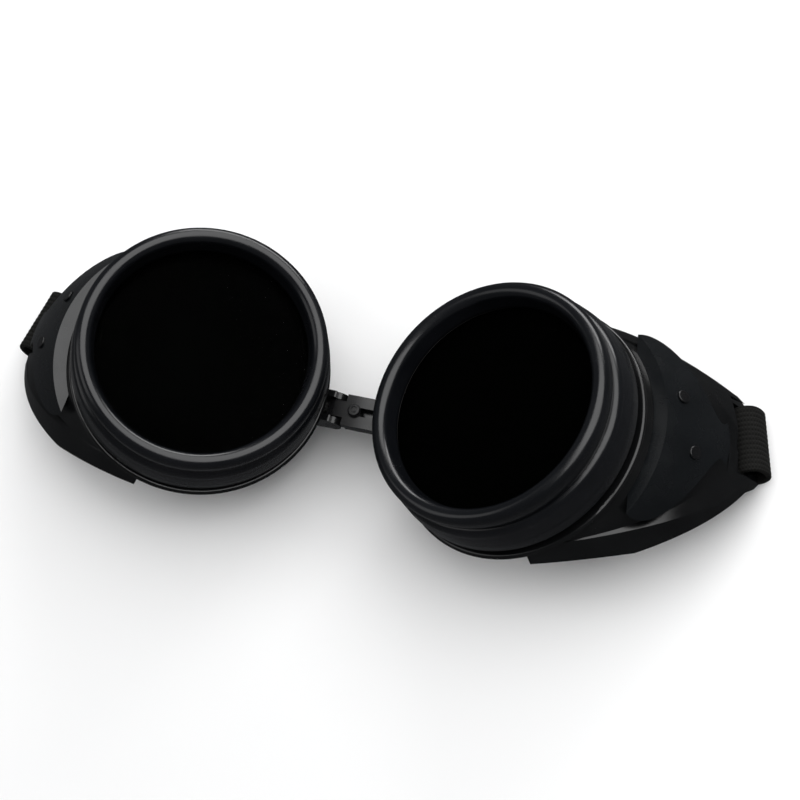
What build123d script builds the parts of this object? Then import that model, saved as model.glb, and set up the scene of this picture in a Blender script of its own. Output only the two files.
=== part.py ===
"""Cup-type welding goggles with 50 mm round lenses, lying face side down with the lenses up.

Row frame: millimetres, +X from the left cup to the right cup as seen from the front, +Y towards
the brow, +Z up out of the lenses. The origin is on the table, midway between the two cups.

Each cup is drawn in its own cup frame and then placed: X outwards to the temple, Y towards the
brow, Z out along the lens axis, with the origin at the centre of the bezel's widest circle. A half
section is drawn in the plane of the radius and Z and turned about Z.
"""

from build123d import *
import math
import os

# How the cups stand
CUP_X = 32.9  # each lens centre, out from the middle of the nose
TOE_IN = 18.7  # each lens axis leans in towards the nose, degrees
CUP_Z = 38.4  # height of the bezel circle's centre above the table
LEFT, RIGHT = -1, 1
CUP_TWIST = {LEFT: -3.0, RIGHT: 3.0}  # each cup lies turned a little about its lens axis, degrees

# Lens pack, down from the bezel circle
LENS_R = 25.0
APERTURE_R = 23.7
WASHER = (-3.7, -3.3)
COVER_LENS = (-5.25, -3.75)
FILTER_LENS = (-8.25, -5.25)
SEAT_GASKET = (-9.25, -8.25)

# Retaining ring
RING_R = 28.0
SKIRT_R = 29.15
SKIRT_END = -13.3
BORE_R = 26.8

# Eyecup
BARREL_R = 26.72
POCKET_R = 25.15
SEAT_R = 22.6
SEAT_Z = -9.25
FLANGE_R = 29.85
FLANGE = (-16.4, -14.9)
WALL = 1.8
RIM_TOP = -17.9
RIM_R = 41.0  # radius of the face curve from nose to temple
RIM_TURN = 5.0  # the face curve is turned up a little, degrees
RIM_BEAD = 3.4
TAB_TURN = 15.0  # the headband tab sits above the middle of the cup, degrees
TAB_HALF = 11.0
TAB_END = -50.2
TAB_TOP = -38.5
TAB_X = 39.6  # middle of the tab's thickness, at the middle of its slot
TAB_T = 1.9
TAB_LEAN = -7.0  # the tab's end stands further out than its root, degrees
SLOT = (-46.6, -41.8)

# Vent cover and its two pins
COVER_TURN = 7.5
COVER_TOP = -18.2
COVER_GAP = 1.8
COVER_OUT = 3.2
COVER_BULGE = 2.5  # the cover is rounder than the wall and comes down to it at both ends
PIN_R = 1.0
PIN_LEAN = 28.0  # the pins stand square to the wall, degrees up from the radius
PIN_PLACES = ((18.0, -23.5), (-0.5, -26.9))
VENT_R = 1.7
VENT_PLACES = ((-15.0, -22.0), (10.0, -22.0), (36.0, -22.0), (13.0, -30.0))

# Nose bridge
BRIDGE_HALF = 3.75
TONGUE = (9.5, 11.5)
STRAP_Z = (11.75, 13.55)
STUD_X = -2.7
STUD_R = 0.9
NOSE_TRAVEL = 5.0
PIVOT = (-7.8, 11.4)  # X and Z of the bridge's fold pivot
PIVOT_R = 1.3
EAR = (2.25, 3.75)
EAR_R = 2.3

# Headband, a flat woven elastic. U runs inwards from the foot of each tab loop.
BAND = 16.0
BAND_T = 1.3
BAND_GAP = 0.25
LOOP_GAP = 1.4  # between the headband and the tab's bar
LOOP_OUT = 0.9  # the loop hangs this far to the outside of the bar
FOOT = {LEFT: (86.7, 8.6), RIGHT: (85.7, 12.7)}  # X and Y of each loop's foot
PLAN = {LEFT: 11.4, RIGHT: 17.1}  # the runs leave the loops square, so they slant in plan, degrees
FOLD_PITCH = 3.2
FOLD_U = (12.0, 48.0)
SEWN_U = 14.0  # length of the sewn end beside the left loop
PINCH = 8.0  # width of the headband where it is folded double behind the bridge
PINCH_X = (-15.0, 2.0)
PINCH_ROLL = 34.0
RUN_Z = 0.95  # the adjusting loop lies this high, inside the slider
OPEN_U = 54.0
SPLIT_U = 31.0
TAIL_U = 40.0
SLIDER_U = (30.0, 42.0)
SLIDER_PLATE = 0.7
SLIDER_RAIL = 2.0
SLIDER_GAP = 0.25


def place(part, side):
    """Stand a cup-frame part on its side of the nose; the left one is a mirror image."""
    part = Rot(0, 0, CUP_TWIST[side]) * part
    if side == LEFT:
        part = mirror(part, about=Plane.YZ)
    return Pos(side * CUP_X, 0, CUP_Z) * Rot(0, -side * TOE_IN, 0) * part


def turned(*edges):
    """Turn a half section, given by its edges or its corners, about the lens axis."""
    return revolve(Plane.XZ * make_face(edges), Axis.Z)


def tube(inner, outer, span):
    """A plain ring about the lens axis, from one radius to the other over a span of Z."""
    low, high = span
    return turned(Polyline((inner, low), (outer, low), (outer, high), (inner, high), close=True))


def disc(radius, span):
    low, high = span
    return Pos(0, 0, low) * Cylinder(radius, high - low, align=(Align.CENTER, Align.CENTER, Align.MIN))


def slab(low, high, size=160):
    """Everything between two heights of Z."""
    return Pos(0, 0, low) * Box(size, size, high - low, align=(Align.CENTER, Align.CENTER, Align.MIN))


def across(edges, turn):
    """A profile in the plane of X and Z, drawn right across the cup and turned about the lens axis."""
    return Rot(0, 0, turn) * extrude(Plane.XZ * make_face(edges), 80, both=True)


# Eyecup ---------------------------------------------------------------------------------------


def wall_arc(offset, flare=0.0):
    """The bell of the cup, from the flange to the headband tab."""
    return ThreePointArc(
        (29.0 + offset, -16.2), (37.3 + offset + flare, -33.0), (41.4 + offset + flare, TAB_END)
    )


def shell(inner, outer):
    """The solid between two curves that run down the bell."""
    return turned(outer, Line(outer @ 1, inner @ 1), inner, Line(inner @ 0, outer @ 0))


def face_cut(grow=0.0):
    """What the wearer's face takes away from the bell; grow raises the cut to mark off the bead."""
    arc = CenterArc((0, RIM_TOP - RIM_R), RIM_R + grow, 12, 78)
    rest = Polyline(
        arc @ 1, (-60, RIM_TOP + grow), (-60, -80), (60, -80), (60, -66 + grow), arc @ 0
    )
    return across([arc, rest], RIM_TURN)


def temple_outline(inset=0.0):
    """The temple end seen from the side: both edges run smoothly down into the headband tab."""
    low = TAB_END + inset
    half = TAB_HALF - inset
    under = Spline((-32 + inset, -23), (-22.0 + inset, -35.5), (-half - 1.8, -44.5))
    over = Spline((half - 0.6, -43.0), (12.6 - inset, -33.5), (22 - inset, -15))
    corner = 2.6
    end = Polyline(under @ 1, (-half, low + corner), (-half + corner, low), (half - corner, low),
                   (half - 0.6, low + corner), over @ 0)
    rest = Polyline(over @ 1, (22 - inset, -8), (-32 + inset, -8), under @ 0)
    return Rot(0, 0, TAB_TURN) * extrude(Plane.YZ * make_face([under, end, over, rest]), 60)


def on_tab(part):
    """Lay a part on the tab: X through its thickness, Y across it, Z up it from its slot."""
    return Rot(0, 0, TAB_TURN) * Pos(TAB_X, 0, sum(SLOT) / 2) * Rot(0, TAB_LEAN, 0) * part


def tab():
    """The flat plate at the end of the bell that holds the headband."""
    plate = on_tab(Box(TAB_T, 2 * TAB_HALF, 40)) & temple_outline() & slab(-60, TAB_TOP)
    return plate & shell(wall_arc(-25), wall_arc(0.6))


def slot_cut():
    outline = RectangleRounded(BAND + 0.8, SLOT[1] - SLOT[0], 1.0)
    return on_tab(extrude(Plane.YZ * outline, 8, both=True))


def radial(radius, turn, z, start, end):
    """A rod that stands out from the lens axis at a turn about it and a height."""
    rod = Cylinder(radius, end - start, align=(Align.CENTER, Align.CENTER, Align.MIN))
    return Rot(0, 0, turn) * Pos(start, 0, z) * Rot(0, 90, 0) * rod


def wall_radius(z):
    """The bell's outer radius at a height."""
    arc = wall_arc(0)
    low, high = 0.0, 1.0
    for _ in range(30):
        middle = (low + high) / 2
        low, high = (middle, high) if (arc @ middle).Y > z else (low, middle)
    return (arc @ low).X


def square_rod(radius, turn, z, start, end):
    """A rod that stands square to the bell's wall; start and end are measured out from the wall."""
    rod = Cylinder(radius, end - start, align=(Align.CENTER, Align.CENTER, Align.MIN))
    return Rot(0, 0, turn) * Pos(wall_radius(z), 0, z) * Rot(0, 90 - PIN_LEAN, 0) * Pos(0, 0, start) * rod


def barrel():
    """The threaded neck with its lens pocket, seat and flange."""
    low, high = FLANGE
    lip = (high - low) / 2
    outline = Polyline(
        (FLANGE_R - lip, high), (BARREL_R, high), (BARREL_R, -5.2), (BARREL_R - 0.4, -4.8),
        (POCKET_R, -4.8), (POCKET_R, SEAT_Z), (SEAT_R, SEAT_Z), (SEAT_R, SEAT_Z - 1.6),
        (27.4, low), (FLANGE_R - lip, low),
    )
    edge = ThreePointArc((FLANGE_R - lip, low), (FLANGE_R, low + lip), (FLANGE_R - lip, high))
    return turned(outline, edge)


def bell():
    """The flared temple side with its face bead, headband tab, slot and vents."""
    side = temple_outline() - face_cut()
    middle = temple_outline(RIM_BEAD) - face_cut(RIM_BEAD)
    band_room = on_tab(Box(40, BAND + 2.6, 40)) & slab(-70, TAB_TOP - 2)
    wall = shell(wall_arc(-WALL), wall_arc(0)) & side
    bead = (shell(wall_arc(-0.2), wall_arc(0.1, flare=1.3)) & side) - middle
    body = (wall + bead - band_room) + tab() - slot_cut()
    for turn, z in VENT_PLACES:
        body -= radial(VENT_R, turn, z, 25, 45)
    for turn, z in PIN_PLACES:
        body -= square_rod(PIN_R + 0.03, turn, z, -10, 10)
    return body


def world_block(x, y, z):
    """A block between two X, two Y and two Z in the row frame."""
    size = (x[1] - x[0], y[1] - y[0], z[1] - z[0])
    return Pos(x[0], y[0], z[0]) * Box(*size, align=(Align.MIN, Align.MIN, Align.MIN))


def rod_y(radius, x, z, y):
    """A rod along Y in the row frame."""
    rod = Cylinder(radius, y[1] - y[0], align=(Align.CENTER, Align.CENTER, Align.MIN))
    return Pos(x, y[0], z) * Rot(-90, 0, 0) * rod


def rod_z(radius, x, y, z):
    """A rod along Z in the row frame."""
    rod = Cylinder(radius, z[1] - z[0], align=(Align.CENTER, Align.CENTER, Align.MIN))
    return Pos(x, y, z[0]) * rod


def cup_room(side):
    """The space that the neck, the lens pack and the face keep free of the bridge's fixings."""
    return place(disc(27.5, (-30, 5)) + disc(32, (-14.8, 5)), side)


def tongue():
    """The right cup's half of the bridge, which carries the stud."""
    low, high = TONGUE
    half = BRIDGE_HALF - 0.35
    nose_end = STUD_X - 2.2
    plate = world_block((nose_end, 13.5), (-half, half), (low, high))
    web = world_block((8.6, 15), (-half, half), (low, high + 4)) - cup_room(RIGHT)
    hole = rod_z(STUD_R + 0.03, STUD_X, 0, (low - 1, high + 1))
    return plate - cup_room(RIGHT) + web - hole


def ears():
    """The left cup's two ears, which hold the bridge strap's pivot rod."""
    x, z = PIVOT
    found = None
    for side in (-1, 1):
        y = tuple(sorted((side * EAR[0], side * EAR[1])))
        ear = rod_y(EAR_R, x, z, y) + world_block((x - 6.4, x), y, (z - EAR_R, z + 3.0))
        ear = ear - rod_y(PIVOT_R + 0.06, x, z, y) - cup_room(LEFT)
        found = ear if found is None else found + ear
    return found


def eyecup(side):
    cup = place(barrel() + bell(), side)
    return cup + (tongue() if side == RIGHT else ears())


# Retaining ring and lens pack -----------------------------------------------------------------


def retaining_ring():
    """Screw cap: a rounded bezel over the lenses, a groove, and a skirt that covers the thread."""
    lip = ThreePointArc((24.3, 0.3), (26.2, 1.75), (RING_R, 0))
    groove = ThreePointArc((RING_R, 0), (27.75, -2.6), (27.2, -3.9))
    skirt = ThreePointArc((27.2, -3.9), (28.35, -4.6), (28.75, -6.0))
    side = ThreePointArc((28.75, -6.0), (SKIRT_R + 0.05, -9.6), (SKIRT_R - 0.05, SKIRT_END + 0.7))
    inner = Polyline(
        (SKIRT_R - 0.05, SKIRT_END + 0.7), (SKIRT_R - 0.6, SKIRT_END), (BORE_R + 0.4, SKIRT_END),
        (BORE_R, SKIRT_END + 0.4), (BORE_R, -4.4), (25.5, -4.4), (25.5, -3.25),
        (APERTURE_R, -3.25), (APERTURE_R, -2.5), (24.3, 0.3),
    )
    return turned(lip, groove, skirt, side, inner)


def lens(span):
    """A flat round lens with a small chamfer round both faces."""
    low, high = span
    rim = 0.25
    corners = [
        (0, low), (LENS_R - rim, low), (LENS_R, low + rim), (LENS_R, high - rim),
        (LENS_R - rim, high), (0, high),
    ]
    return turned(Polyline(*corners, close=True))


# Vent cover -----------------------------------------------------------------------------------


def leaf_cut():
    """What bounds the cover on the face side: a long shallow curve up to its tip at the tab."""
    edge = Spline((25.4, COVER_TOP + 0.1), (26.9, -20.8), (33.1, -25.6), (40.6, -34.2))
    rest = Polyline(edge @ 1, (46, -41), (-60, -41), (-60, -12), (25.4, -12), edge @ 0)
    return across([edge, rest], COVER_TURN)


def cover_shell(inner, outer):
    """A curved layer over the wall, between two offsets from it at the middle of the cover."""
    layer = shell(wall_arc(inner - COVER_BULGE), wall_arc(outer - COVER_BULGE))
    return Rot(0, 0, COVER_TURN) * Pos(COVER_BULGE, 0, 0) * layer


def vent_cover():
    """A leaf-shaped shield that stands off the wall and is open along its face side."""
    foot = cover_shell(-15, COVER_OUT) & slab(COVER_TOP - 1.2, COVER_TOP)
    cover = (cover_shell(COVER_GAP, COVER_OUT) & slab(-40, COVER_TOP)) + foot
    cover = cover - leaf_cut() - shell(wall_arc(-25), wall_arc(0.05))
    for turn, z in PIN_PLACES:
        cover -= square_rod(PIN_R + 0.03, turn, z, -10, 10)
    return cover


def vent_pins():
    """Two staked posts: a shank through the wall and the cover, with a low domed head."""
    top = COVER_OUT * math.cos(math.radians(PIN_LEAN)) + 0.15
    pins = []
    for turn, z in PIN_PLACES:
        shank = square_rod(PIN_R, turn, z, -WALL - 0.9, top)
        head = square_rod(1.5, turn, z, top, top + 0.35)
        head = fillet(head.edges().filter_by(GeomType.CIRCLE).sort_by(Axis.Z)[-1], 0.25)
        pins.append(shank + head)
    return pins


# Nose bridge ----------------------------------------------------------------------------------


def bridge_strap():
    """The upper half of the bridge: a flat bar with a keyhole slot, and a pivot rod at its left."""
    low, high = STRAP_Z
    x, z = PIVOT
    right_end = STUD_X + NOSE_TRAVEL + 3.6
    inside = EAR[0] - 0.3
    bar = world_block((x + EAR_R + 0.3, right_end), (-BRIDGE_HALF, BRIDGE_HALF), (low, high))
    neck = world_block((x, STUD_X - 2.0), (-inside, inside), (low, high))
    knuckle = rod_y(2.0, x, z, (-inside, inside))
    rod = rod_y(PIVOT_R, x, z, (-EAR[1], EAR[1]))
    slot_end = STUD_X + NOSE_TRAVEL
    slot_half = STUD_R + 0.15
    slot = world_block((STUD_X, slot_end), (-slot_half, slot_half), (low - 1, high + 1))
    slot += rod_z(slot_half, slot_end, 0, (low - 1, high + 1))
    keyhole = rod_z(slot_half + 0.2, STUD_X, 0, (low - 1, high + 1))
    bar = fillet(bar.edges().filter_by(Axis.Z).group_by(Axis.X)[-1], 2.2)
    return bar + neck + knuckle + rod - slot - keyhole


def bridge_stud():
    """Snap stud riveted through the tongue, with a dished head over the strap's slot."""
    low, high = TONGUE
    top = STRAP_Z[1] + 0.15
    foot = rod_z(2.0, STUD_X, 0, (low - 0.7, low))
    neck = rod_z(STUD_R, STUD_X, 0, (low - 0.7, top + 0.3))
    head = rod_z(1.5, STUD_X, 0, (top, top + 0.8))
    head = chamfer(head.edges().filter_by(GeomType.CIRCLE).group_by(Axis.Z)[-1], 0.3)
    dish = rod_z(0.9, STUD_X, 0, (top + 0.5, top + 0.9)) - rod_z(0.45, STUD_X, 0, (top, top + 0.9))
    return foot + neck + head - dish


# Headband -------------------------------------------------------------------------------------


def loop_room(grow):
    """The bar below the tab's slot, grown by a clearance; the headband passes round it."""
    tall = SLOT[0] - TAB_END + 2 * grow
    middle = (SLOT[0] + TAB_END - sum(SLOT)) / 2
    return Plane.XZ * Pos(LOOP_OUT, middle) * SlotOverall(tall, TAB_T + 2 * grow, 90)


def band_loop():
    """The flat loop that the headband makes around the tab's bar, in the cup frame."""
    ring = loop_room(LOOP_GAP + BAND_T) - loop_room(LOOP_GAP)
    return on_tab(extrude(ring, BAND / 2, both=True))


def joined_to_loop(runs, side):
    """Add a tab loop to straight runs of headband, leaving the tab's bar free inside it."""
    bar = on_tab(extrude(loop_room(LOOP_GAP), 14, both=True))
    return (runs - place(bar, side)) + place(band_loop(), side)


def lay(part, side):
    """Lay a part, drawn from a loop's foot inwards along +X, under its own cup."""
    if side == RIGHT:
        part = mirror(part, about=Plane.YZ)
    x, y = FOOT[side]
    return Pos(side * x, y, 0) * Rot(0, 0, side * PLAN[side]) * part


def run(u, low):
    """A straight run of headband, flat over a stretch of U at a height."""
    return world_block(u, (-BAND / 2, BAND / 2), (low, low + BAND_T))


def fold(u, low, inward):
    """A soft half turn that takes the headband up from one run to the one above it."""
    reach = FOLD_PITCH + BAND_T
    y = (-BAND / 2, BAND / 2)
    middle = low + reach / 2
    ring = rod_y(reach / 2, u, middle, y) - rod_y((FOLD_PITCH - BAND_T) / 2, u, middle, y)
    half = (u, u + reach) if inward else (u - reach, u)
    return ring & world_block(half, y, (low, low + reach))


def flat_section(side, u, low):
    """The headband's section, square to its run at a stretch of U under one cup."""
    turn = math.radians(PLAN[side])
    foot_x, foot_y = FOOT[side]
    x = side * (foot_x - u * math.cos(turn))
    y = foot_y - u * math.sin(turn)
    along = (math.cos(turn), side * math.sin(turn), 0)
    wide = (-side * math.sin(turn), math.cos(turn), 0)
    return Plane((x, y, low + BAND_T / 2), x_dir=wide, z_dir=along) * Rectangle(BAND, BAND_T)


def pinch_section(x):
    """The headband folded double, turned part way onto its edge in the shade of the bridge."""
    stand = Plane((x, 2.2, 5.3), x_dir=(0, 1, 0), z_dir=(1, 0, 0))
    return stand * Rot(0, 0, -PINCH_ROLL) * Rectangle(PINCH, BAND_T * BAND / PINCH)


def crossing():
    """The headband is folded double to pass behind the bridge, then opens out flat again."""
    sections = [
        flat_section(LEFT, FOLD_U[1] - 2, 2 * FOLD_PITCH),
        pinch_section(PINCH_X[0]),
        pinch_section(PINCH_X[1]),
        flat_section(RIGHT, OPEN_U, RUN_Z),
    ]
    return loft(sections, ruled=True)


def headband_left():
    """From the left tab: sewn loop, three folded runs, the crossing, and on to the slider."""
    near, far = FOLD_U
    band = lay(run((0, far), 0) + run((0, SEWN_U), BAND_T + BAND_GAP), LEFT)
    folds = fold(far, 0, True) + run((near, far), FOLD_PITCH)
    folds += fold(near, FOLD_PITCH, False) + run((near, far - 2), 2 * FOLD_PITCH)
    band = joined_to_loop(band, LEFT) + lay(folds, LEFT)
    return band + crossing() + lay(run((SPLIT_U + 0.15, OPEN_U), RUN_Z), RIGHT)


def headband_right():
    """The adjusting loop: through the right tab and back on itself to the slider."""
    band = run((0, SPLIT_U - 0.15), RUN_Z) + run((0, TAIL_U), RUN_Z + BAND_T + BAND_GAP)
    return joined_to_loop(lay(band, RIGHT), RIGHT)


def headband_slider():
    """A flat moulded loop that holds the two layers of the adjusting loop together."""
    half = BAND / 2 + SLIDER_GAP
    low = RUN_Z - SLIDER_GAP
    high = RUN_Z + 2 * BAND_T + BAND_GAP + SLIDER_GAP
    y = (-half - SLIDER_RAIL, half + SLIDER_RAIL)
    body = world_block(SLIDER_U, y, (low - SLIDER_PLATE, high + SLIDER_PLATE + 0.3))
    body = fillet(body.edges().filter_by(Axis.Z), 2.0)
    tunnel = world_block((0, 90), (-half, half), (low, high))
    window = Pos(sum(SLIDER_U) / 2, 0, high + 1) * Box(4.5, BAND - 2, 2.2)
    return lay(body - tunnel - window, RIGHT)


def main():
    os.makedirs("parts", exist_ok=True)
    nodes = {}
    for side, name in ((LEFT, "left"), (RIGHT, "right")):
        nodes[f"eyecup_{name}"] = eyecup(side)
        nodes[f"retaining_ring_{name}"] = place(retaining_ring(), side)
        nodes[f"ring_washer_{name}"] = place(tube(23.9, 25.2, WASHER), side)
        nodes[f"cover_lens_{name}"] = place(lens(COVER_LENS), side)
        nodes[f"filter_lens_{name}"] = place(lens(FILTER_LENS), side)
        nodes[f"seat_gasket_{name}"] = place(tube(SEAT_R, LENS_R, SEAT_GASKET), side)
        nodes[f"vent_cover_{name}"] = place(vent_cover(), side)
        nodes[f"vent_pins_{name}"] = Compound([place(pin, side) for pin in vent_pins()])
    nodes["bridge_strap"] = bridge_strap()
    nodes["bridge_stud"] = bridge_stud()
    nodes["headband_left"] = headband_left()
    nodes["headband_right"] = headband_right()
    nodes["headband_slider"] = headband_slider()
    for name, shape in nodes.items():
        export_step(shape, f"parts/{name}.step")


main()
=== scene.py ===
import math

import bpy
from mathutils import Matrix, Vector


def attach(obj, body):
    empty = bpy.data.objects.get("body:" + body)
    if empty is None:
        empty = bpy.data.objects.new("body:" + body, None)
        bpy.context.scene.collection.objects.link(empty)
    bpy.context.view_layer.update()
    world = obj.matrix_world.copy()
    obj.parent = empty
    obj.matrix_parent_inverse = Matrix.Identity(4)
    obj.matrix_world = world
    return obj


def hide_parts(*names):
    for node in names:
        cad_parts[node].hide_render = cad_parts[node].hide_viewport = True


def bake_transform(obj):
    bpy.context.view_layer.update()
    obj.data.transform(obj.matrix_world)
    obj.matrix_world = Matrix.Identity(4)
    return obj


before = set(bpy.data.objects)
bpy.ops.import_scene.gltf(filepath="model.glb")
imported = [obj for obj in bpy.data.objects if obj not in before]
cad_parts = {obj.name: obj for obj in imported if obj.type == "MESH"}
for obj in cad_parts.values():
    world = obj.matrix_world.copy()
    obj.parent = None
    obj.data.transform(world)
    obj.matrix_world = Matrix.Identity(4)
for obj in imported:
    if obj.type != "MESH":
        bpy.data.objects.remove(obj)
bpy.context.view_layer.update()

SCENE = bpy.context.scene
LEFT, RIGHT = -1, 1
SIDES = ((LEFT, "left"), (RIGHT, "right"))

# The cups and their headband tabs, as the CAD model has them, in metres.
CUP_X = 0.0329
CUP_Z = 0.0384
TOE = math.radians(18.7)
TAB_PLACE = Vector((0.0396, 0, -0.0442))
TAB_LEAN = math.radians(7)
TAB_SPREAD, CUP_TWIST = 15, 3  # degrees: each tab's turn in its cup, and the cup's twist on the bridge
TAB_TURN = {side: math.radians(TAB_SPREAD + CUP_TWIST * side) for side in (LEFT, RIGHT)}
PARTING_DROP = 0.0094  # from a cup's centre down to the mould line round its ring's skirt

# The headband: width, thickness, pitch of its ribs and of its crosswise picks. FOOT is the foot of each
# loop, as the x (without its sign) and the y, and PLAN is the angle in plan at which the band runs
# inwards from there.
BAND = 0.016
THICK = 0.0013
RIB = 0.00114
RIB_DEEP = 0.00022
PICK = 0.00062
BEND = 0.0023  # how much of the width bends where the band is folded double along its middle
LAYER_RISE = 0.0032  # from one layer up to the next, at a fold
FOOT = {LEFT: (0.0867, 0.0086), RIGHT: (0.0857, 0.0127)}
PLAN = {LEFT: math.radians(11.4), RIGHT: math.radians(17.1)}

# The loop of band round a tab's bar, in the tab's own plane: the radius of its bends, how far out
# their centres are, the heights of the upper and lower centres, and two heights on its inner side.
LOOP_REACH = 0.0030
LOOP_OUT = 0.0009
LOOP_TOP = -0.00335
LOOP_FOOT = -0.00505
LOOP_INSIDE = (-0.0049, -0.0041)


def cup_axis(side):
    return Vector((-side * math.sin(TOE), 0, math.cos(TOE)))


def cup_centre(side):
    return Vector((side * CUP_X, 0, CUP_Z))


# Materials ------------------------------------------------------------------------------------

PEEL = 0.000008
SCUFF = 0.00001
LENS_GLOSS = 0.004


class Shader:
    """A small helper that builds one node material on the object's own coordinates, in metres."""

    def __init__(self, name):
        self.mat = bpy.data.materials.new(name)
        self.mat.use_nodes = True
        self.nodes = self.mat.node_tree.nodes
        self.links = self.mat.node_tree.links
        self.bsdf = self.nodes["Principled BSDF"]
        self.coords = self.nodes.new("ShaderNodeTexCoord").outputs["Object"]
        self.height = None

    def put(self, socket, value):
        self.bsdf.inputs[socket].default_value = value

    def feed(self, socket, value):
        """Link a socket to a value that is a socket, or else set it."""
        if isinstance(value, bpy.types.NodeSocket):
            self.links.new(value, socket)
        else:
            socket.default_value = value

    def node(self, kind, **inputs):
        made = self.nodes.new(kind)
        for name, value in inputs.items():
            self.feed(made.inputs[name.replace("_", " ")], value)
        return made

    def noise(self, scale, detail=3.0, stretch=None, rough=0.5):
        coords = self.coords
        if stretch:
            coords = self.node("ShaderNodeMapping", Vector=coords, Scale=stretch).outputs[0]
        made = self.node("ShaderNodeTexNoise", Vector=coords, Scale=scale, Detail=detail, Roughness=rough)
        return made.outputs[0]

    def spread(self, value, low, high, start=0.3, end=0.7):
        """Map start..end of a value to low..high."""
        made = self.node("ShaderNodeMapRange", Value=value)
        for name, number in (("From Min", start), ("From Max", end), ("To Min", low), ("To Max", high)):
            made.inputs[name].default_value = number
        return made.outputs[0]

    def maths(self, operation, a, b=0.0):
        made = self.nodes.new("ShaderNodeMath")
        made.operation = operation
        self.feed(made.inputs[0], a)
        self.feed(made.inputs[1], b)
        return made.outputs[0]

    def mixed(self, a, share_a, b, share_b):
        return self.maths("ADD", self.maths("MULTIPLY", a, share_a), self.maths("MULTIPLY", b, share_b))

    def ramp(self, value, stops):
        made = self.node("ShaderNodeValToRGB", Fac=value)
        ramp = made.color_ramp
        while len(ramp.elements) < len(stops):
            ramp.elements.new(0.5)
        for element, (place, colour) in zip(ramp.elements, stops):
            element.position = place
            element.color = (*colour, 1)
        return made.outputs[0]

    def colour(self, value):
        self.links.new(value, self.bsdf.inputs["Base Color"])

    def rough(self, value):
        self.links.new(value, self.bsdf.inputs["Roughness"])

    def bump(self, height, depth, strength):
        """Add a bump of that depth in metres on top of those already made."""
        made = self.node("ShaderNodeBump", Height=height, Strength=strength, Distance=depth)
        if self.height is not None:
            self.links.new(self.height, made.inputs["Normal"])
        self.height = made.outputs[0]
        self.links.new(self.height, self.bsdf.inputs["Normal"])

    def along(self, point, axis):
        """The distance from a point along an axis, as a socket."""
        moved = self.nodes.new("ShaderNodeVectorMath")
        moved.operation = "SUBTRACT"
        self.links.new(self.coords, moved.inputs[0])
        moved.inputs[1].default_value = point
        dot = self.nodes.new("ShaderNodeVectorMath")
        dot.operation = "DOT_PRODUCT"
        self.links.new(moved.outputs[0], dot.inputs[0])
        dot.inputs[1].default_value = axis
        return dot.outputs["Value"]


def grey(level):
    return (level, level, level)


def moulded(name, dark, light, rough, sink=0.00025):
    """Injection moulded plastic: a faint orange peel, slow sink waves, fine scuffs and patchy gloss."""
    s = Shader(name)
    s.colour(s.ramp(s.noise(scale=55, detail=4), ((0.35, dark), (0.7, light))))
    s.rough(s.spread(s.noise(scale=140, detail=5), low=rough[0], high=rough[1]))
    s.bump(s.noise(scale=60, detail=2), depth=sink, strength=0.35)
    s.bump(s.noise(scale=900, detail=2), depth=PEEL, strength=0.3)
    s.bump(s.noise(scale=300, detail=6, stretch=(1, 14, 1)), depth=SCUFF, strength=0.35)
    return s


def ring_material(side, word):
    """The retaining ring: gloss plastic with a fine mould parting line round its skirt."""
    s = moulded(
        f"ring_plastic_{word}",
        dark=(0.003, 0.0035, 0.0045), light=(0.006, 0.0065, 0.008), rough=(0.18, 0.28),
    )
    height = s.along(cup_centre(side), cup_axis(side))
    off = s.maths("ABSOLUTE", s.maths("ADD", height, PARTING_DROP))
    line = s.spread(off, low=1.0, high=0.0, start=0.00008, end=0.00028)
    s.bump(line, depth=0.00012, strength=0.6)
    return s.mat


def glass(name, tint, alpha):
    s = Shader(name)
    s.colour(s.ramp(s.noise(scale=90, detail=3), ((0.3, tint), (0.8, tuple(1.3 * c for c in tint)))))
    s.rough(s.spread(s.noise(scale=220, detail=5), low=0.03, high=0.09))
    s.bump(s.noise(scale=35, detail=1), depth=0.00004, strength=0.15)
    s.put("Alpha", alpha)
    s.put("Specular IOR Level", LENS_GLOSS)
    return s.mat


def dull(name, dark, light, rough, grain, depth):
    """A matt, grainy surface. The grain is the noise's scale."""
    s = Shader(name)
    s.colour(s.ramp(s.noise(scale=grain, detail=6, rough=0.7), ((0.3, dark), (0.75, light))))
    s.rough(s.spread(s.noise(scale=grain / 3, detail=4), low=rough - 0.1, high=rough + 0.08))
    s.bump(s.noise(scale=grain * 2, detail=5), depth=depth, strength=0.8)
    return s.mat


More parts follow.
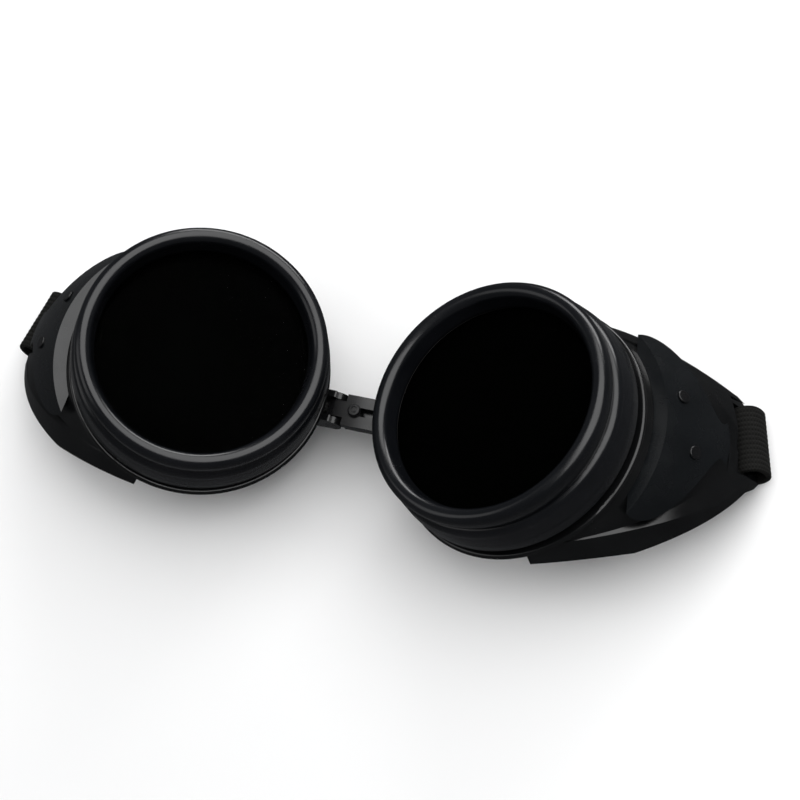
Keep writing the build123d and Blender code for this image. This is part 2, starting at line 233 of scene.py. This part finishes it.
def elastic():
    """Woven elastic: crosswise picks that shift by half from one rib to the next, and a fine fuzz."""
    s = Shader("elastic")
    uv = s.nodes.new("ShaderNodeUVMap")
    uv.uv_map = "band"
    split = s.node("ShaderNodeSeparateXYZ", Vector=uv.outputs[0])
    across, along = split.outputs["X"], split.outputs["Y"]
    rib = s.maths("MULTIPLY", across, 2 * math.pi / RIB)
    step = s.maths("MULTIPLY", s.maths("SIGN", s.maths("SINE", rib)), 0.5)
    picks = s.mixed(along, 2 * math.pi / PICK, step, math.pi)
    weave = s.maths("ADD", s.maths("MULTIPLY", s.maths("SINE", picks), 0.5), 0.5)
    fuzz = s.noise(scale=5200, detail=6, rough=0.75)
    patch = s.mixed(s.mixed(weave, 0.45, fuzz, 0.55), 0.8, s.noise(scale=130, detail=4), 0.2)
    shades = ((0.25, grey(0.001)), (0.55, (0.0045, 0.0045, 0.004)), (0.85, (0.013, 0.0125, 0.011)))
    s.colour(s.ramp(patch, shades))
    s.rough(s.spread(fuzz, low=0.75, high=0.95))
    s.bump(weave, depth=0.00008, strength=0.6)
    s.bump(fuzz, depth=0.0001, strength=0.7)
    s.put("Sheen Weight", 0.02)
    s.put("Sheen Roughness", 0.4)
    s.put("Sheen Tint", (0.5, 0.48, 0.42, 1))
    s.put("Specular IOR Level", 0.2)
    return s.mat


def thread():
    s = Shader("thread")
    s.colour(s.ramp(s.noise(scale=4000, detail=4), ((0.3, grey(0.01)), (0.7, grey(0.03)))))
    s.rough(s.spread(s.noise(scale=3000, detail=3), low=0.6, high=0.8))
    s.bump(s.noise(scale=6000, detail=3), depth=0.00005, strength=0.6)
    return s.mat


def paint(node, mat):
    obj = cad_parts[node]
    if not obj.data.materials:
        obj.data.materials.append(mat)
    for slot in obj.material_slots:
        slot.material = mat


CUP = moulded(
    "cup_plastic",
    dark=(0.002, 0.0022, 0.0024), light=(0.005, 0.0052, 0.0055), rough=(0.17, 0.28),
).mat
COVER = moulded(
    "cover_plastic",
    dark=(0.0022, 0.0028, 0.0034), light=(0.005, 0.006, 0.007), rough=(0.2, 0.32), sink=0.0006,
).mat
SMALL = moulded(
    "small_plastic",
    dark=(0.0024, 0.0024, 0.0028), light=(0.006, 0.006, 0.0065), rough=(0.22, 0.34),
).mat
SLIDER = moulded("slider_plastic", dark=grey(0.008), light=grey(0.016), rough=(0.42, 0.55)).mat
COVER_LENS = glass("clear_glass", tint=grey(0.0006), alpha=0.25)
FILTER_LENS = glass("filter_glass", tint=(0.0003, 0.0004, 0.0003), alpha=0.99)
WASHER = dull(
    "washer_fibre",
    dark=(0.01, 0.01, 0.009), light=(0.03, 0.028, 0.026), rough=0.8, grain=1800, depth=0.00005,
)
GASKET = dull("gasket_rubber", dark=grey(0.006), light=grey(0.016), rough=0.75, grain=1200, depth=0.00003)
ELASTIC = elastic()
THREAD = thread()
for side, word in SIDES:
    paint(f"retaining_ring_{word}", ring_material(side, word))
    paint(f"eyecup_{word}", CUP)
    paint(f"vent_cover_{word}", COVER)
    paint(f"vent_pins_{word}", SMALL)
    paint(f"cover_lens_{word}", COVER_LENS)
    paint(f"filter_lens_{word}", FILTER_LENS)
    paint(f"ring_washer_{word}", WASHER)
    paint(f"seat_gasket_{word}", GASKET)
    paint(f"headband_{word}", ELASTIC)
for node in ("bridge_strap", "bridge_stud"):
    paint(node, SMALL)
paint("headband_slider", SLIDER)

# The headband's route -------------------------------------------------------------------------
# A knot is a place, the direction of the band's width there, and how far the band is folded double
# along its middle, from 0 for flat to 1. Runs are written as (distance inwards from the loop's foot,
# height) in millimetres.


def tab_point(side, x, z, y=0.0):
    """A point given in the tab's own plane, in the row frame."""
    local = Matrix.Rotation(-TAB_LEAN, 4, "Y") @ Vector((x, y, z))
    local = Matrix.Rotation(TAB_TURN[side], 4, "Z") @ (local + TAB_PLACE)
    local = Matrix.Rotation(-TOE, 4, "Y") @ local + Vector((CUP_X, 0, CUP_Z))
    return Vector((side * local.x, local.y, local.z))


def run_point(side, u, z):
    """A point at a distance inwards from a loop's foot, at a height."""
    x, y = FOOT[side]
    return Vector((side * (x - u * math.cos(PLAN[side])), y - u * math.sin(PLAN[side]), z))


def run_width(side):
    return Vector((-side * math.sin(PLAN[side]), math.cos(PLAN[side]), 0))


def loop_width(side):
    return (tab_point(side, 0, 0, 0.01) - tab_point(side, 0, 0)).normalized()


def loop_knots(side):
    """Up the inside of the tab's bar, over it, and down its outside."""
    wide = loop_width(side)
    knots = [(tab_point(side, LOOP_OUT - LOOP_REACH, z), wide, 0) for z in LOOP_INSIDE]
    for centre, turns in ((LOOP_TOP, range(180, -1, -30)), (LOOP_FOOT, range(0, -91, -30))):
        for turn in turns:
            a = math.radians(turn)
            out = LOOP_OUT + LOOP_REACH * math.cos(a)
            knots.append((tab_point(side, out, centre + LOOP_REACH * math.sin(a)), wide, 0))
    return knots


def flat_knots(side, places):
    wide = run_width(side)
    return [(run_point(side, u / 1000, z / 1000), wide, 0) for u, z in places]


def fold_knots(side, u, z, inward):
    """A half turn of the band from one run up to the next, from a height, u and z in millimetres."""
    radius = LAYER_RISE / 2
    middle = z / 1000 + radius
    sign = 1 if inward else -1
    wide = run_width(side)
    knots = []
    for turn in (-60, -30, 0, 30, 60):
        a = math.radians(turn)
        out = u / 1000 + sign * radius * math.cos(a)
        knots.append((run_point(side, out, middle + radius * math.sin(a)), wide, 0))
    return knots


def pinch_knot(x, z=0.0053, fold=1.0, roll=34, y=0.0022):
    """A place where the band crosses behind the bridge, rolled by that many degrees and folded."""
    a = math.radians(roll)
    return (Vector((x, y, z)), Vector((0, math.cos(a), -math.sin(a))), fold)


def left_knots():
    """From the sewn end up round the left tab, inwards, back and inwards again, to the crossing."""
    knots = flat_knots(LEFT, ((14, 2.25), (10, 2.2), (6, 2.2), (3.8, 2.7)))
    knots += loop_knots(LEFT)
    knots += flat_knots(LEFT, ((2.8, 0.85), (6, 0.66), (14, 0.66), (26, 0.66), (38, 0.66), (46.5, 0.68)))
    knots += fold_knots(LEFT, 48, 0.65, inward=True)
    knots += flat_knots(LEFT, ((45.5, 3.75), (38, 2.7), (30, 2.35), (20, 2.9), (14, 3.7)))
    knots += fold_knots(LEFT, 12, 3.85, inward=False)
    knots += flat_knots(LEFT, ((14.5, 6.95), (22, 5.7), (30, 5.2), (38, 5.8), (46, 6.7)))
    return knots + [pinch_knot(-0.027, 0.0061, 0.55, 20, 0.0012), pinch_knot(-0.015), pinch_knot(-0.008)]


def cross_knots():
    """From the end of the left part, behind the bridge, to the slider under the right cup."""
    knots = [pinch_knot(-0.008), pinch_knot(0.002), pinch_knot(0.014, 0.0064, 0.6, 7, 0.0004)]
    return knots + flat_knots(RIGHT, ((54, 2.0), (48, 1.62), (42, 1.6), (31.3, 1.6)))


def right_knots():
    """From its end in the slider out to the right tab, round it, and back into the slider."""
    knots = flat_knots(RIGHT, ((40, 3.15), (30, 3.15), (20, 3.05), (12, 2.95), (6.5, 2.95), (4.0, 3.5)))
    knots += loop_knots(RIGHT)
    return knots + flat_knots(RIGHT, ((3.4, 1.25), (8, 1.5), (16, 1.6), (30.85, 1.6)))


# The headband's mesh --------------------------------------------------------------------------

SAMPLE_STEP = 0.0005
SECTION_STEPS = 84
EDGE_START, EDGE_SHARE = 0.93, 0.07  # the rounded edge, as shares of half the width
RIB_END = 0.95
EDGE_THIN = 0.25
TINY = 1e-5

STITCHES = 26
STITCH_RADIUS = 0.00016
STITCH_SIDES = 6
STITCH_MARGIN = 0.002
# Each stitch dips into the band at its ends, as (share of its length, lift in radii).
STITCH_ARCH = ((0.0, -2.2), (0.15, 1.2), (0.5, 1.2), (0.85, 1.2), (1.0, -2.2))


def smooth(knots):
    """Close samples of a smooth curve through the knots: place, width direction and fold."""
    samples = []
    last = len(knots) - 2
    for i in range(last + 1):
        before = knots[max(0, i - 1)][0]
        start, start_wide, start_fold = knots[i]
        end, end_wide, end_fold = knots[i + 1]
        after = knots[min(last + 1, i + 2)][0]
        span = (end - start).length
        span_before = max((start - before).length, TINY)
        span_after = max((after - end).length, TINY)
        leave = (end - before) / (span + span_before) * span if i else end - start
        arrive = (after - start) / (span + span_after) * span if i < last else end - start
        count = max(2, round(span / SAMPLE_STEP))
        for k in range(count + (i == last)):
            t = k / count
            place = (
                start * (2 * t**3 - 3 * t**2 + 1) + leave * (t**3 - 2 * t**2 + t)
                + end * (3 * t**2 - 2 * t**3) + arrive * (t**3 - t**2)
            )
            ease = t * t * (3 - 2 * t)
            wide = start_wide.lerp(end_wide, ease)
            samples.append((place, wide, start_fold * (1 - ease) + end_fold * ease))
    return samples


def midline(fold):
    """The section's middle line, as (across, out, turn) at even steps, centred on its mean."""
    places = [(0.0, 0.0)]
    turns = []
    for i in range(SECTION_STEPS):
        s = (-0.5 + (i + 0.5) / SECTION_STEPS) * BAND
        turn = math.pi * fold * (0.5 - max(-0.5, min(0.5, s / BEND)))
        x, y = places[-1]
        places.append((
            x + math.cos(turn) * BAND / SECTION_STEPS,
            y + math.sin(turn) * BAND / SECTION_STEPS,
        ))
        turns.append(turn)
    turns.append(turns[-1])
    mid_x = sum(p[0] for p in places) / len(places)
    mid_y = sum(p[1] for p in places) / len(places)
    return [(x - mid_x, y - mid_y, turn) for (x, y), turn in zip(places, turns)]


def half_thickness(s):
    """Half the band's thickness at a distance from its middle: ribbed, with round edges."""
    edge = abs(s) / (BAND / 2)
    round_off = math.sqrt(max(0.0, 1 - max(0.0, (edge - EDGE_START) / EDGE_SHARE) ** 2))
    rib = RIB_DEEP * (1 - abs(math.cos(math.pi * s / RIB)) ** 0.6) if edge < RIB_END else 0
    return (THICK / 2 - rib) * (EDGE_THIN + (1 - EDGE_THIN) * round_off)


def section(fold):
    """The band's outline as (across, out, distance from the middle), top face first."""
    top, low = [], []
    for i, (x, y, turn) in enumerate(midline(fold)):
        s = (-0.5 + i / SECTION_STEPS) * BAND
        half = half_thickness(s)
        top.append((x - math.sin(turn) * half, y + math.cos(turn) * half, s))
        low.append((x + math.sin(turn) * half, y - math.cos(turn) * half, s))
    return top + low[::-1]


def new_piece(name, verts, faces, mat):
    mesh = bpy.data.meshes.new(name)
    mesh.from_pydata(verts, [], faces)
    mesh.shade_smooth()
    mesh.materials.append(mat)
    obj = bpy.data.objects.new(name, mesh)
    SCENE.collection.objects.link(obj)
    return obj


def strap(name, knots):
    """A closed ribbed band along its knots, and its length, with a UV map in metres across and along."""
    samples = smooth(knots)
    rows, lengths, verts = [], [], []
    travelled = 0.0
    for i, (place, wide, fold) in enumerate(samples):
        if i:
            travelled += (place - samples[i - 1][0]).length
        ahead = samples[min(i + 1, len(samples) - 1)][0] - samples[max(i - 1, 0)][0]
        tangent = ahead.normalized()
        across = (wide - tangent * wide.dot(tangent)).normalized()
        out = tangent.cross(across)
        shape = section(fold)
        rows.append(shape)
        lengths.append(travelled)
        verts += [place + across * x + out * y for x, y, _ in shape]
    n = len(rows[0])
    faces, uvs = [], []
    for i in range(len(rows) - 1):
        for k in range(n):
            m = (k + 1) % n
            faces.append((i * n + k, i * n + m, (i + 1) * n + m, (i + 1) * n + k))
            u0, u1 = rows[i][k][2], rows[i][m][2]
            uvs += [(u0, lengths[i]), (u1, lengths[i]), (u1, lengths[i + 1]), (u0, lengths[i + 1])]
    far_end = (len(rows) - 1) * n
    for base, length in ((0, 0.0), (far_end, travelled)):
        for k in range(n // 2 - 1):
            cap = (base + k, base + k + 1, base + n - 2 - k, base + n - 1 - k)
            faces.append(cap if base == 0 else cap[::-1])
            uvs += [(0.0, length)] * 4
    obj = new_piece(name, verts, faces, ELASTIC)
    layer = obj.data.uv_layers.new(name="band")
    for loop, uv in zip(layer.data, uvs):
        loop.uv = uv
    obj.data.validate()
    return obj, travelled


def stitches(name, side, first, last, height):
    """A bar tack: close zigzag stitches over the top of the sewn end, nearly from edge to edge."""
    radius, sides = STITCH_RADIUS, STITCH_SIDES
    wide = run_width(side)
    points = []
    for i in range(STITCHES + 1):
        u = first if i % 2 else last
        s = (-0.5 + i / STITCHES) * (BAND - STITCH_MARGIN)
        points.append(run_point(side, u, height) + wide * s)
    verts, faces = [], []
    for a, b in zip(points, points[1:]):
        sideways = (b - a).normalized().cross(Vector((0, 0, 1))).normalized()
        start = len(verts)
        for t, lift in STITCH_ARCH:
            for k in range(sides):
                turn = 2 * math.pi * k / sides
                up = Vector((0, 0, radius * lift + radius * math.sin(turn)))
                verts.append(a.lerp(b, t) + up + sideways * radius * math.cos(turn))
        for i in range(len(STITCH_ARCH) - 1):
            low = start + sides * i
            for k in range(sides):
                m = (k + 1) % sides
                faces.append((low + k, low + m, low + sides + m, low + sides + k))
    obj = new_piece(name, verts, faces, THREAD)
    return obj


band_left, left_long = strap("band_left", left_knots())
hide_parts("headband_left")
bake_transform(band_left)

band_cross, cross_long = strap("band_cross", cross_knots())
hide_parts("headband_left")
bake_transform(band_cross)

band_right, right_long = strap("band_right", right_knots())
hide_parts("headband_right")
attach(band_right, "right_cup")

tack = stitches("bar_tack", LEFT, first=0.0095, last=0.0118, height=0.00285)
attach(tack, "left_cup")

# Floor, light and camera ----------------------------------------------------------------------

FLOOR_SIZE = 3.0
LENS, SENSOR = 90, 36
IMAGE_WIDE = 800
STEPS_PER_MM = 4.62  # how much of the image's width a millimetre takes at the cups' height
CAMERA_AWAY = LENS / SENSOR * IMAGE_WIDE / STEPS_PER_MM / 1000
CAMERA_ASIDE = (-0.01254, 0.00569)  # how far the cups' middle stands from the middle of the view
CAMERA_TURNS = (("Z", -11.01), ("Y", -15.50), ("X", -18.02))


def floor():
    mesh = bpy.data.meshes.new("floor")
    size = FLOOR_SIZE
    corners = [(-size, -size, 0), (size, -size, 0), (size, size, 0), (-size, size, 0)]
    mesh.from_pydata(corners, [], [(0, 1, 2, 3)])
    obj = bpy.data.objects.new("floor", mesh)
    SCENE.collection.objects.link(obj)
    s = Shader("floor")
    s.colour(s.ramp(s.noise(scale=6, detail=2), ((0.2, grey(0.86)), (0.8, grey(0.88)))))
    s.put("Roughness", 0.9)
    s.put("Specular IOR Level", 0.0)
    mesh.materials.append(s.mat)
    obj.visible_glossy = False


def camera():
    """A long lens from above, in front and to the right, rolled as the photograph is."""
    turn = Matrix.Identity(3)
    for axis, degrees in CAMERA_TURNS:
        turn = turn @ Matrix.Rotation(math.radians(degrees), 3, axis)
    data = bpy.data.cameras.new("camera")
    data.lens, data.sensor_width = LENS, SENSOR
    data.clip_start, data.clip_end = 0.02, 20
    obj = bpy.data.objects.new("camera", data)
    back = turn.transposed()
    shift = Vector((*CAMERA_ASIDE, -CAMERA_AWAY))
    obj.matrix_world = Matrix.Translation(Vector((0, 0, CUP_Z)) - back @ shift) @ back.to_4x4()
    SCENE.collection.objects.link(obj)
    SCENE.camera = obj


def softbox(name, place, aim, size, power):
    light = bpy.data.lights.new(name, "AREA")
    light.shape = "RECTANGLE"
    light.size, light.size_y = size
    light.energy = power
    obj = bpy.data.objects.new(name, light)
    obj.location = place
    obj.rotation_mode = "QUATERNION"
    obj.rotation_quaternion = (Vector(aim) - Vector(place)).to_track_quat("-Z", "Y")
    SCENE.collection.objects.link(obj)


def sun():
    """A broad, weak light that lifts the floor and leaves no mark in the gloss."""
    light = bpy.data.lights.new("sun", "SUN")
    light.energy = 0.9
    light.angle = math.radians(50)
    obj = bpy.data.objects.new("sun", light)
    obj.rotation_euler = (math.radians(12), math.radians(-10), 0)
    obj.visible_glossy = False
    SCENE.collection.objects.link(obj)


def studio():
    world = bpy.data.worlds.new("studio")
    world.use_nodes = True
    background = world.node_tree.nodes["Background"]
    background.inputs[0].default_value = (0.94, 0.96, 1.0, 1)
    background.inputs[1].default_value = 0.08
    SCENE.world = world
    SCENE.view_settings.view_transform = "Standard"


floor()
camera()
softbox("top", place=(0.28, 0.33, 1.05), aim=(0, 0, 0.02), size=(1.5, 1.2), power=15)
softbox("brow", place=(0.05, 0.85, 0.32), aim=(0.03, 0, 0.03), size=(0.8, 0.3), power=4)
softbox("temple", place=(-0.75, -0.2, 0.6), aim=(-0.03, 0, 0.03), size=(0.5, 0.6), power=0.8)
sun()
studio()
